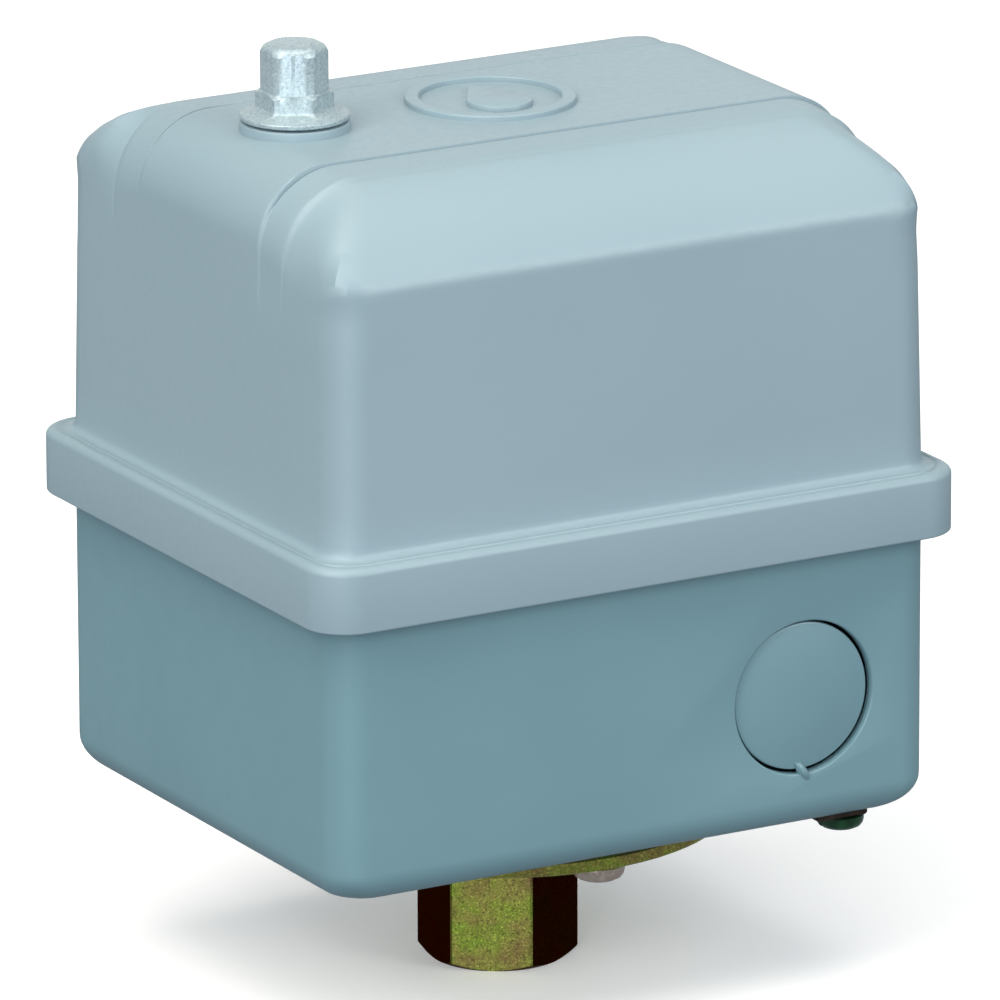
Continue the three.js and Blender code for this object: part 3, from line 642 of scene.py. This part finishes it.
def make_nut(material):
    """A closed flange nut: a chamfered hexagon, and above it a taller barrel with narrow flats."""
    centre = ((NUT_LOW + NUT_HIGH) / 2)[:2]
    low, top = NUT_LOW[2], NUT_HIGH[2]
    angles = np.linspace(0, 2 * math.pi, 144, endpoint=False)
    hexagon = hexagon_radius(angles, NUT_FLATS, 5.44)
    barrel = hexagon_radius(angles, 8.7, 4.72)
    flat = 4.76
    hex_top = low + 4.1
    chamfer = hex_top - 0.1 - np.maximum(hexagon - flat, 0) * 0.6
    rings = [ring_of(r, z, angles, centre) for r, z in (
        (STUD_RADIUS + GAP, top - 2.2), (STUD_RADIUS + GAP, low + 0.3), (STUD_RADIUS + 0.6, low),
        (7.1, low), (7.5, low + 0.06), (7.63, low + 0.2), (7.65, low + 0.58), (7.55, low + 0.72),
        (7.3, low + 0.78), (6.4, low + 1.16),
    )]
    rings += [ring_of(hexagon + grow, z, angles, centre) for grow, z in (
        (0.3, low + 1.5), (0.06, low + 1.72), (0, low + 2.0), (0, chamfer - 0.04),
    )]
    eased = np.minimum(hexagon, flat + (hexagon - flat) * 0.86)
    rings.append(ring_of(eased, chamfer + 0.05, angles, centre))
    rings.append(ring_of(flat + 0.06, hex_top - 0.08, angles, centre))
    rings.append(ring_of(barrel + 0.03, hex_top, angles, centre))
    rings.append(ring_of(barrel, hex_top + 0.1, angles, centre))
    end = top - 0.85 - np.maximum(barrel - 4.35, 0) * 1.1
    rings.append(ring_of(barrel, end, angles, centre))
    crown = [(0.985, 0.72), (0.95, 0.52), (0.9, 0.34), (0.84, 0.2), (0.76, 0.09), (0.66, 0.02)]
    for share, drop in (*crown, (0.4, 0)):
        rings.append(ring_of(np.minimum(barrel, 4.5) * share, top - drop, angles, centre))
    parts = [skin(rings, caps=True)]
    mesh_piece("closed_cover_nut", parts, material, "cover_nut", ["cover_nut"], sharp=24)


def make_port(material):
    """The port's hexagon: chamfered at its open end, with the pipe thread's grooves in its bore."""
    top, flats = PORT_HIGH[2], PORT_HIGH[0] * 2
    corner = flats / 2 * 1.148
    angles = np.linspace(0, 2 * math.pi, 192, endpoint=False)
    hexagon = hexagon_radius(angles + math.radians(PORT_TURN), flats, corner)
    foot = flats / 2 - 0.05
    chamfer = np.maximum(hexagon - foot, 0) * math.tan(math.radians(31))
    rings = [ring_of(r, z, angles) for r, z in ((3.0, top), (3.0, 16.0), (5.2, 14.2))]
    for half_turn in range(2 * THREAD_TURNS):
        radius = 5.25 if half_turn % 2 else 5.95
        taper = 0.01 * (2 * THREAD_TURNS - half_turn)
        rings.append(ring_of(radius + taper, 13.6 - 0.7 * half_turn, angles))
    rings += [ring_of(r, z, angles) for r, z in ((6.3, 0.5), (6.75, 0.0), (foot - 0.25, 0.0))]
    rings.append(ring_of(np.minimum(hexagon, foot), 0.04, angles))
    rings.append(ring_of(hexagon - 0.06, chamfer + 0.03, angles))
    rings.append(ring_of(hexagon, chamfer + 0.16, angles))
    rings.append(ring_of(hexagon, PORT_LENGTH, angles))
    rings += [ring_of(7.0, PORT_LENGTH, angles), ring_of(7.0, top, angles)]
    parts = [skin(rings, close=True)]
    mesh_piece("port_hexagon", parts, material, "case", ["port_hex_fitting"], sharp=20)


def make_flange(material):
    """The round plate under the pan, with a rounded lower edge."""
    low, high = FLANGE_LOW[2], FLANGE_HIGH[2]
    radius = FLANGE_HIGH[0]
    profile = [(7.3, high), (7.3, low), (9.6, low), (10.2, low)]
    profile += [(23.0, low), (24.4, low + 0.12), (radius - 0.7, low + 0.12)]
    profile += arc((radius - 0.6, low + 0.72), 0.6, -90, 0, 6)
    profile += [(radius, high - 0.3), (radius - 0.3, high)]
    parts = [turned(profile, (0, 0, 0), 128)]
    replaced = ["diaphragm_flange"]
    mesh_piece("pressure_flange", parts, material, "case", replaced, sharp=30)


def pan_head(centre, seat, radius, height, down=True, shank=2.1, length=11.0, slot=0.95):
    """A slotted pan-head screw standing on a seat; down turns its head downwards."""
    x, y = centre
    sign = -1 if down else 1
    dome = [(0, 1), (0.45, 0.995), (0.7, 0.93), (0.87, 0.79), (0.965, 0.58), (1, 0.34)]
    profile = [(radius * r, height * h) for r, h in dome]
    profile += [(radius, 0.12), (radius - 0.12, 0), (shank, 0)]
    profile += [(shank, -length + 0.6), (shank - 0.6, -length), (0, -length)]
    body = turned([(r, sign * h) for r, h in profile], (x, y, seat), 56, close=False)
    half = slot / 2
    low, high = sorted((seat + sign * height * 0.5, seat + sign * (height + 1)))
    corners = [(x - 9, y - half), (x + 9, y - half), (x + 9, y + half), (x - 9, y + half)]
    bar = skin([[(a, b, z) for a, b in corners] for z in (low, high)], caps=True)
    return cut_holes([body], [bar])


def make_flange_screws(material):
    for index in range(1, 7):
        replaced = f"flange_screw_{index}"
        low, high = box_mm(replaced)
        centre = ((low + high) / 2)[:2]
        part = pan_head(centre, FLANGE_LOW[2] - 0.05, 3.75, 2.35)
        mesh_piece(f"flange_pan_head_{index}", [part], material, "case", [replaced])


def make_ground(screw_material, clamp_material):
    """The green ground screw and the small plate that it holds against the pan."""
    centre = ((GROUND_LOW + GROUND_HIGH) / 2)[:2]
    seat = CLAMP_LOW[2] - 0.1
    head = pan_head(centre, seat, 3.4, seat - GROUND_LOW[2])
    mesh_piece("ground_screw_head", [head], screw_material, "case", ["ground_screw"])
    low, high = CLAMP_LOW, CLAMP_HIGH
    middle, half = (low + high) / 2, (high - low) / 2
    rings = []
    levels = ((0.25, low[2]), (0, low[2] + 0.25), (0, high[2] - 0.1), (0.1, high[2]))
    for inset, z in levels:
        base, outward = perimeter(half[0] - 1, half[1] - 1, steps=6)
        flat = base + outward * (1 - inset)
        rings.append([(middle[0] + a, middle[1] + b, z) for a, b in flat])
    plate = skin(rings, caps=True)
    mesh_piece("ground_clamp_plate", [plate], clamp_material, "case", ["ground_clamp"])


# ---------------------------------------------------------------- springs


CLOSED_TURNS = 0.75


def coil(centre, radius, wire, turns, low, high):
    """The line of a compression spring, whose ends are closed and rise only a little each."""
    points = []
    pitch = 0.4
    rise = pitch * CLOSED_TURNS
    for t in np.linspace(0, 1, int(turns * 40) + 1):
        climb = min(max((t * turns - CLOSED_TURNS) / (turns - 2 * CLOSED_TURNS), 0), 1)
        closed = min(t * turns, CLOSED_TURNS, (1 - t) * turns) * pitch
        settle = closed if t < 0.5 else 2 * rise - closed
        z = low + wire + (high - low - 2 * wire - 2 * rise) * climb + settle
        angle = 2 * math.pi * turns * t
        x, y = centre[0] + radius * math.cos(angle), centre[1] + radius * math.sin(angle)
        points.append(Vector((x, y, z)))
    return points


def wire_part(points, wire, centre):
    """Round wire along a coil's line."""
    rings = []
    for i, point in enumerate(points):
        ahead = points[min(i + 1, len(points) - 1)] - points[max(i - 1, 0)]
        outward = Vector((point.x - centre[0], point.y - centre[1], 0)).normalized()
        across = ahead.normalized().cross(outward).normalized()
        ring = []
        for a in np.linspace(0, 2 * math.pi, 12, endpoint=False):
            ring.append(point + outward * wire * math.cos(a) + across * wire * math.sin(a))
        rings.append(ring)
    return skin(rings, caps=True)


def make_spring(node, wire, turns, lower_body, upper_body, material):
    """A spring in two halves. Each half is its own piece, set in place with no parent."""
    low, high = box_mm(node)
    centre = ((low + high) / 2)[:2]
    radius = (high[1] - low[1]) / 2 - wire
    line = coil(centre, radius, wire, turns, low[2], high[2])
    half = len(line) // 2
    pieces = [
        ("lower", line[: half + 1], lower_body, low[2] + 1),
        ("upper", line[half:], upper_body, high[2] - 1),
    ]
    for word, points, body, end in pieces:
        part = wire_part(points, wire, centre)
        piece = mesh_piece(f"{node}_{word}_coils", [part], material, "case", [node])
        if body:
            world = piece.matrix_world.copy()
            piece.parent = None
            piece.matrix_world = world
            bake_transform(piece)


# ---------------------------------------------------------------- materials


def node(material, kind, inputs=None, **settings):
    """A shader node; inputs are numbers, colours or sockets of other nodes."""
    tree = material.node_tree
    made = tree.nodes.new(kind)
    for key, value in settings.items():
        setattr(made, key, value)
    for key, value in (inputs or {}).items():
        if isinstance(value, bpy.types.NodeSocket):
            tree.links.new(value, made.inputs[key])
        else:
            made.inputs[key].default_value = value
    return made


def plain(name, roughness, metallic=0.0, extra=None):
    """A material whose shader carries the values that are the same all over."""
    material = bpy.data.materials.new(name)
    material.use_nodes = True
    shader = material.node_tree.nodes["Principled BSDF"]
    shader.inputs["Metallic"].default_value = metallic
    shader.inputs["Roughness"].default_value = roughness
    for key, value in (extra or {}).items():
        shader.inputs[key].default_value = value
    return material, shader


def place(material):
    """The point's place on its object, in metres."""
    return node(material, "ShaderNodeTexCoord").outputs["Object"]


def noise(material, scale, detail=3.0, roughness=0.5):
    """Noise over the object, with features about 1 / scale metres across."""
    inputs = {"Vector": place(material), "Scale": scale, "Detail": detail, "Roughness": roughness}
    return node(material, "ShaderNodeTexNoise", inputs).outputs["Fac"]


def ramp(material, value, stops):
    """A colour ramp through (position, colour) stops."""
    made = node(material, "ShaderNodeValToRGB", {"Fac": value})
    elements = made.color_ramp.elements
    while len(elements) < len(stops):
        elements.new(0.5)
    for element, (position, colour) in zip(elements, stops):
        element.position = position
        element.color = (*colour, 1)
    return made.outputs["Color"]


def spread(material, value, low, high):
    """A noise's usual spread of values, fitted between two numbers."""
    inputs = {"Value": value, "From Min": 0.3, "From Max": 0.7, "To Min": low, "To Max": high}
    return node(material, "ShaderNodeMapRange", inputs).outputs["Result"]


def multiply(material, first, second):
    """Two colours multiplied together."""
    inputs = {0: first, 1: second}
    return node(material, "ShaderNodeVectorMath", inputs, operation="MULTIPLY").outputs["Vector"]


def bump(material, shader, height, distance, strength):
    """A bumpy surface, with a distance in metres."""
    inputs = {"Height": height, "Distance": distance, "Strength": strength}
    normal = node(material, "ShaderNodeBump", inputs).outputs["Normal"]
    material.node_tree.links.new(normal, shader.inputs["Normal"])


def link(material, output, socket):
    material.node_tree.links.new(output, socket)


def moulded_plastic():
    """Satin blue-grey plastic: a fine moulded grain and a very slight drift of tone."""
    material, shader = plain("moulded_blue_grey_plastic", 0.42, extra={"Specular IOR Level": 0.45})
    tone = ramp(material, noise(material, 22, 2), [
        (0.3, (0.261, 0.355, 0.397)),
        (0.7, (0.276, 0.37, 0.411)),
    ])
    link(material, tone, shader.inputs["Base Color"])
    link(material, spread(material, noise(material, 900, 2), 0.36, 0.48), shader.inputs["Roughness"])
    bump(material, shader, noise(material, 2600, 3), 0.00003, 0.35)
    return material


def pan_paint():
    """Glossier blue-green paint on steel, with the faint orange peel of a sprayed coat."""
    material, shader = plain("sprayed_pan_paint", 0.33, extra={"Specular IOR Level": 0.5})
    tone = ramp(material, noise(material, 30, 3), [
        (0.3, (0.158, 0.28, 0.317)),
        (0.7, (0.17, 0.298, 0.334)),
    ])
    link(material, tone, shader.inputs["Base Color"])
    link(material, spread(material, noise(material, 260, 2), 0.28, 0.38), shader.inputs["Roughness"])
    bump(material, shader, noise(material, 520, 2), 0.00006, 0.25)
    return material


def bright_zinc():
    """Bright zinc plate: a grainy surface with cool dark flecks and pale ones."""
    material, shader = plain("bright_zinc_plate", 0.4, 0.3)
    tone = ramp(material, noise(material, 2600, 3, 0.65), [
        (0.32, (0.24, 0.31, 0.38)),
        (0.45, (0.36, 0.46, 0.49)),
        (0.58, (0.4, 0.49, 0.51)),
        (0.72, (0.58, 0.67, 0.68)),
    ])
    link(material, tone, shader.inputs["Base Color"])
    link(material, spread(material, noise(material, 1500, 3), 0.28, 0.44), shader.inputs["Roughness"])
    bump(material, shader, noise(material, 2600, 3), 0.00002, 0.6)
    return material


def yellow_zinc(name="yellow_chromate_zinc", painted_side_shade=False):
    """Yellow chromate over zinc: olive with pink and green drifts and a fine sparkle.

    With painted side shade set, two opposite flats stay bright and painted shade darkens the rest to
    nearly black.
    """
    tint = {"Specular Tint": (0.6, 0.45, 0.3, 1)} if painted_side_shade else {}
    material, shader = plain(name, 0.32, 1.0, tint)
    tone = ramp(material, noise(material, 170, 3, 0.6), [
        (0.3, (0.4, 0.27, 0.1)),
        (0.45, (0.46, 0.42, 0.1)),
        (0.56, (0.42, 0.5, 0.08)),
        (0.7, (0.3, 0.48, 0.06)),
    ])
    grain = ramp(material, noise(material, 3600, 2), [
        (0.35, (0.62, 0.62, 0.62)),
        (0.62, (1.15, 1.15, 1.15)),
        (0.72, (2.0, 2.0, 2.0)),
    ])
    tone = multiply(material, tone, grain)
    # Painted shade: the flats that face away from the two bright ones are darkened to nearly black.
    if painted_side_shade:
        tone = multiply(material, tone, painted_flat_shade(material))
    link(material, tone, shader.inputs["Base Color"])
    link(material, spread(material, noise(material, 2200, 3), 0.22, 0.45), shader.inputs["Roughness"])
    bump(material, shader, noise(material, 3000, 3), 0.00002, 0.6)
    return material


def painted_flat_shade(material):
    """Painted shade: white on the port's two bright flats, and dark maroon on the flats at an angle to
    them.
    """
    angle = math.radians(-120 - PORT_TURN)
    along = (math.cos(angle), math.sin(angle), 0)
    normal = node(material, "ShaderNodeTexCoord").outputs["Normal"]
    facing = node(material, "ShaderNodeVectorMath", {0: normal, 1: along}, operation="DOT_PRODUCT")
    size = node(material, "ShaderNodeMath", {0: facing.outputs["Value"]}, operation="ABSOLUTE")
    return ramp(material, size.outputs["Value"], [
        (0.55, (0.07, 0.02, 0.02)),
        (0.9, (1.0, 1.0, 1.0)),
    ])


def turned_brass():
    """Brass with a pinkish plate and the fine marks of turning."""
    material, shader = plain("turned_brass", 0.3, 1.0)
    tone = ramp(material, noise(material, 900, 3), [
        (0.3, (0.64, 0.49, 0.4)),
        (0.7, (0.86, 0.7, 0.58)),
    ])
    link(material, tone, shader.inputs["Base Color"])
    link(material, spread(material, noise(material, 1800, 2), 0.22, 0.4), shader.inputs["Roughness"])
    bump(material, shader, noise(material, 2400, 2), 0.00004, 0.5)
    return material


def green_dye():
    """Green dye over plating, under a clear coat."""
    material, shader = plain("green_dyed_plate", 0.22, 0.6, extra={"Coat Weight": 0.7})
    tone = ramp(material, noise(material, 800, 3), [
        (0.3, (0.002, 0.03, 0.007)),
        (0.7, (0.012, 0.1, 0.028)),
    ])
    link(material, tone, shader.inputs["Base Color"])
    bump(material, shader, noise(material, 1800, 2), 0.00005, 0.6)
    return material


def dark_bronze():
    """A nearly black bronze finish on steel."""
    material, shader = plain("dark_bronze_finish", 0.45, 0.7)
    tone = ramp(material, noise(material, 500, 3), [
        (0.3, (0.02, 0.013, 0.01)),
        (0.7, (0.06, 0.04, 0.028)),
    ])
    link(material, tone, shader.inputs["Base Color"])
    bump(material, shader, noise(material, 1500, 2), 0.00005, 0.5)
    return material


def rubber():
    """Black rubber, dull and slightly rough."""
    material, shader = plain("fabric_reinforced_rubber", 0.75)
    tone = ramp(material, noise(material, 700, 3), [
        (0.3, (0.012, 0.012, 0.013)),
        (0.7, (0.028, 0.028, 0.03)),
    ])
    link(material, tone, shader.inputs["Base Color"])
    bump(material, shader, noise(material, 1600, 2), 0.00008, 0.6)
    return material


def phenolic():
    """Dark brown moulded phenolic with pale filler specks."""
    material, shader = plain("dark_phenolic", 0.45, extra={"Specular IOR Level": 0.5})
    tone = ramp(material, noise(material, 1900, 4, 0.7), [
        (0.35, (0.018, 0.011, 0.008)),
        (0.62, (0.035, 0.022, 0.016)),
        (0.78, (0.11, 0.08, 0.06)),
    ])
    link(material, tone, shader.inputs["Base Color"])
    bump(material, shader, noise(material, 1400, 2), 0.00005, 0.4)
    return material


def spring_steel():
    """Bright drawn wire."""
    material, shader = plain("drawn_spring_steel", 0.28, 1.0)
    tone = ramp(material, noise(material, 600, 3), [
        (0.3, (0.3, 0.3, 0.31)),
        (0.7, (0.5, 0.5, 0.51)),
    ])
    link(material, tone, shader.inputs["Base Color"])
    link(material, spread(material, noise(material, 1500, 2), 0.2, 0.4), shader.inputs["Roughness"])
    return material


def pale_floor():
    """A matt floor, lit a little from within so that it stays white at the edges."""
    matt = {"Specular IOR Level": 0.1, "Emission Strength": 0.2}
    material, shader = plain("pale_floor", 0.9, extra=matt)
    tone = ramp(material, noise(material, 3, 2), [
        (0.3, (0.92, 0.92, 0.92)),
        (0.7, (0.94, 0.94, 0.94)),
    ])
    link(material, tone, shader.inputs["Base Color"])
    return material


# ---------------------------------------------------------------- camera, lights and floor

# Angles are in degrees: azimuth to the right of the front wall, elevation above the floor.
AZIMUTH = -29.52
ELEVATION = 16.52
ROLL = -0.18
LENS = 434.2
DISTANCE = 1691.8
AIM = Vector((0.63, 0.03, 66.34))


def view_axes(azimuth, elevation):
    """Right, up and back vectors of a camera that looks at the origin from there."""
    a, e = math.radians(azimuth), math.radians(elevation)
    back = Vector((math.sin(a) * math.cos(e), -math.cos(a) * math.cos(e), math.sin(e)))
    right = Vector((math.cos(a), math.sin(a), 0))
    return right, back.cross(right), back


def add_camera():
    """A long lens from the front left and a little above."""
    right, up, back = view_axes(AZIMUTH, ELEVATION)
    turn = math.radians(ROLL)
    rolled_right = right * math.cos(turn) + up * math.sin(turn)
    rolled_up = up * math.cos(turn) - right * math.sin(turn)
    data = bpy.data.cameras.new("camera")
    data.lens = LENS
    data.sensor_width = 36
    data.clip_start = 0.05
    data.clip_end = 50
    facing = Matrix((rolled_right, rolled_up, back)).transposed().to_4x4()
    camera = bpy.data.objects.new("camera", data)
    camera.matrix_world = Matrix.Translation((AIM + back * DISTANCE) * MM) @ facing
    bpy.context.scene.collection.objects.link(camera)
    bpy.context.scene.camera = camera


WARM = (1.0, 0.94, 0.85)
COOL = (0.87, 0.92, 1.0)
WHITE = (1.0, 1.0, 1.0)

# Azimuth, elevation, distance in m, sides in m, power in W and colour.
SOFTBOXES = {
    "zenith": (-20, 86, 1.4, (1.4, 1.4), 13.2, WARM),
    "overleft": (-80, 55, 1.4, (0.9, 0.9), 8.5, WARM),
    "left": (-70, 22, 1.4, (0.5, 1.0), 7.6, WHITE),
    "front": (-36, 12, 1.6, (0.7, 0.7), 5.2, COOL),
    "right": (30, 25, 1.6, (0.7, 1.0), 12.4, WHITE),
    "corner_strip": (-41, 8, 1.2, (0.07, 0.9), 2.2, WHITE),
    "back": (150, 14, 2.2, (2.6, 0.9), 4.6, WHITE),
}


def add_softboxes():
    """Area lights that look at the middle of the object."""
    centre = Vector((0, 0, 0.07))
    for name, (azimuth, elevation, distance, size, power, colour) in SOFTBOXES.items():
        right, up, back = view_axes(azimuth, elevation)
        data = bpy.data.lights.new(name, "AREA")
        data.shape = "RECTANGLE"
        data.size, data.size_y = size
        data.energy = power
        data.color = colour
        light = bpy.data.objects.new(name, data)
        turn = Matrix((right, up, back)).transposed().to_4x4()
        light.matrix_world = Matrix.Translation(centre + back * distance) @ turn
        bpy.context.scene.collection.objects.link(light)


def add_floor(material):
    """A wide floor that neither mirrors in the object nor throws light back at it."""
    corners = [(-6, -6, 0), (6, -6, 0), (6, 6, 0), (-6, 6, 0)]
    mesh = bpy.data.meshes.new("floor")
    mesh.from_pydata(corners, [], [(0, 1, 2, 3)])
    mesh.materials.append(material)
    floor = bpy.data.objects.new("floor", mesh)
    floor.visible_glossy = False
    floor.visible_diffuse = False
    bpy.context.scene.collection.objects.link(floor)


WORLD_LEVEL = 0.3


def add_world():
    """A dim, slightly blue room."""
    world = bpy.data.worlds.new("studio")
    world.use_nodes = True
    background = world.node_tree.nodes["Background"]
    background.inputs["Color"].default_value = (0.8, 0.9, 1.0, 1)
    background.inputs["Strength"].default_value = WORLD_LEVEL
    bpy.context.scene.world = world
    bpy.context.scene.view_settings.view_transform = "Standard"


# ---------------------------------------------------------------- the scene

plastic, paint, zinc = moulded_plastic(), pan_paint(), bright_zinc()
chromate, brass, steel = yellow_zinc(), turned_brass(), spring_steel()
green, bronze, black, brown = green_dye(), dark_bronze(), rubber(), phenolic()

SLOT_MATERIALS = {
    "painted_pan": paint,
    "cover_grey": plastic,
    "bright_zinc": zinc,
    "yellow_zinc": chromate,
    "green_screw": green,
    "dark_bronze": bronze,
    "black_rubber": black,
    "spring_steel": steel,
    "dark_phenolic": brown,
    "brass": brass,
}
for subpart in frame["record"]["subparts"]:
    carried = frame["nodes"][subpart["node"]]
    carried.data.materials.clear()
    carried.data.materials.append(SLOT_MATERIALS[subpart["material_slot"]])

make_cover(plastic)
make_pan(paint)
make_nut(zinc)
# The port's chromate carries painted shade on its side flats.
make_port(yellow_zinc("chromate_zinc_painted_side_shade", painted_side_shade=True))
make_flange(chromate)
make_flange_screws(brass)
make_ground(green, bronze)
make_spring("range_spring", 1.5, 6, "lever", "range_seat", steel)
make_spring("differential_spring", 0.9, 6, "lever", "differential_seat", steel)
make_spring("snap_spring", 0.6, 4, "lever", "carrier", steel)

add_camera()
add_world()
add_softboxes()
add_floor(pale_floor())
